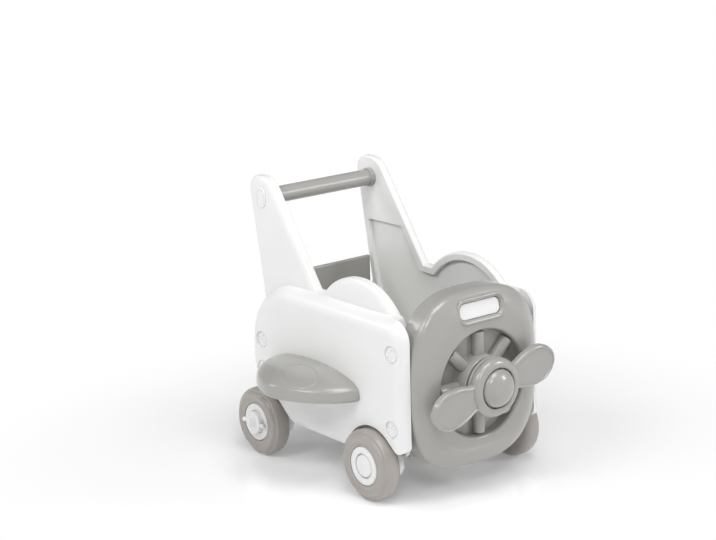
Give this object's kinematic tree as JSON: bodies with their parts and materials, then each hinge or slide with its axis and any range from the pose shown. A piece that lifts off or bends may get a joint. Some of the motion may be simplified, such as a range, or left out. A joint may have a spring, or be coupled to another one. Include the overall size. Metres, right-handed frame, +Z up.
{
  "type": "push walker",
  "caption": "Toddler's push walker shaped like a propeller aeroplane, with a toy bin, handle bar, nose panel with radial engine, stub wings, and rear wheels with adjusters.",
  "frame": {"origin": "centre of the bounding box's bottom, on the floor between the wheels", "axes": "+Z up, -Y the way the nose and propeller face, +Y towards the child, +X the walker's left"},
  "size_m": [0.5214, 0.5332, 0.5068],
  "materials": {
    "white_plastic": "smooth satin white moulded plastic",
    "grey_plastic": "smooth satin warm grey moulded plastic",
    "bar_plastic": "smooth cool grey plastic",
    "tyre_plastic": "soft matt warm grey tread",
    "steel": "zinc-plated steel"
  },
  "bodies": {
    "walker": {"axle_bracket_front_left": "white_plastic", "axle_bracket_front_right": "white_plastic", "axle_bracket_rear_left": "white_plastic", "axle_bracket_rear_right": "white_plastic", "axle_nut_front_left": "steel", "axle_nut_front_right": "steel", "axle_nut_rear_left": "steel", "axle_nut_rear_right": "steel", "back_panel": "grey_plastic", "bin_floor": "grey_plastic", "front_axle": "steel", "front_bulkhead": "grey_plastic", "front_panel": "grey_plastic", "handle_bar": "bar_plastic", "handle_collar_left": "bar_plastic", "handle_collar_right": "bar_plastic", "handle_cover_left": "white_plastic", "handle_cover_right": "white_plastic", "propeller_axle": "steel", "rear_axle": "steel", "screw_cover_front_lower_left": "white_plastic", "screw_cover_front_lower_right": "white_plastic", "screw_cover_front_upper_left": "white_plastic", "screw_cover_front_upper_right": "white_plastic", "screw_cover_rear_lower_left": "white_plastic", "screw_cover_rear_lower_right": "white_plastic", "screw_cover_rear_upper_left": "white_plastic", "screw_cover_rear_upper_right": "white_plastic", "side_liner_left": "white_plastic", "side_liner_right": "white_plastic", "side_shell_left": "white_plastic", "side_shell_right": "white_plastic", "washer_front_left": "steel", "washer_front_right": "steel", "washer_rear_left": "steel", "washer_rear_right": "steel", "window_plate": "white_plastic", "wing_left": "grey_plastic", "wing_right": "grey_plastic"},
    "wheel_front_left": {"tyre_front_left": "tyre_plastic", "wheel_core_front_left": "white_plastic", "hub_cap_front_left": "white_plastic"},
    "wheel_rear_left": {"tyre_rear_left": "tyre_plastic", "wheel_core_rear_left": "white_plastic"},
    "adjuster_left": {"adjuster_rear_left": "white_plastic"},
    "wheel_front_right": {"tyre_front_right": "tyre_plastic", "wheel_core_front_right": "white_plastic", "hub_cap_front_right": "white_plastic"},
    "wheel_rear_right": {"tyre_rear_right": "tyre_plastic", "wheel_core_rear_right": "white_plastic"},
    "adjuster_right": {"adjuster_rear_right": "white_plastic"},
    "propeller": {"propeller": "grey_plastic", "nose_cap": "grey_plastic"}
  },
  "joints": [
    {"name": "wheel_front_left_spin", "type": "hinge", "parent": "walker", "child": "wheel_front_left", "pos_m": [0.1618, -0.10445, 0.0625], "axis": [1, 0, 0], "continuous": true},
    {"name": "wheel_front_right_spin", "type": "hinge", "parent": "walker", "child": "wheel_front_right", "pos_m": [-0.1618, -0.10445, 0.0625], "axis": [1, 0, 0], "continuous": true},
    {"name": "wheel_rear_left_spin", "type": "hinge", "parent": "walker", "child": "wheel_rear_left", "pos_m": [0.1618, 0.20405, 0.0625], "axis": [1, 0, 0], "continuous": true},
    {"name": "wheel_rear_right_spin", "type": "hinge", "parent": "walker", "child": "wheel_rear_right", "pos_m": [-0.1618, 0.20405, 0.0625], "axis": [1, 0, 0], "continuous": true},
    {"name": "adjuster_left_turn", "type": "hinge", "parent": "walker", "child": "adjuster_left", "pos_m": [0.1842, 0.20405, 0.0625], "axis": [1, 0, 0], "range_deg": [0, 90]},
    {"name": "adjuster_right_turn", "type": "hinge", "parent": "walker", "child": "adjuster_right", "pos_m": [-0.1842, 0.20405, 0.0625], "axis": [1, 0, 0], "range_deg": [0, 90]},
    {"name": "propeller_spin", "type": "hinge", "parent": "walker", "child": "propeller", "pos_m": [0, -0.22655, 0.195], "axis": [0, 1, 0], "continuous": true}
  ]
}
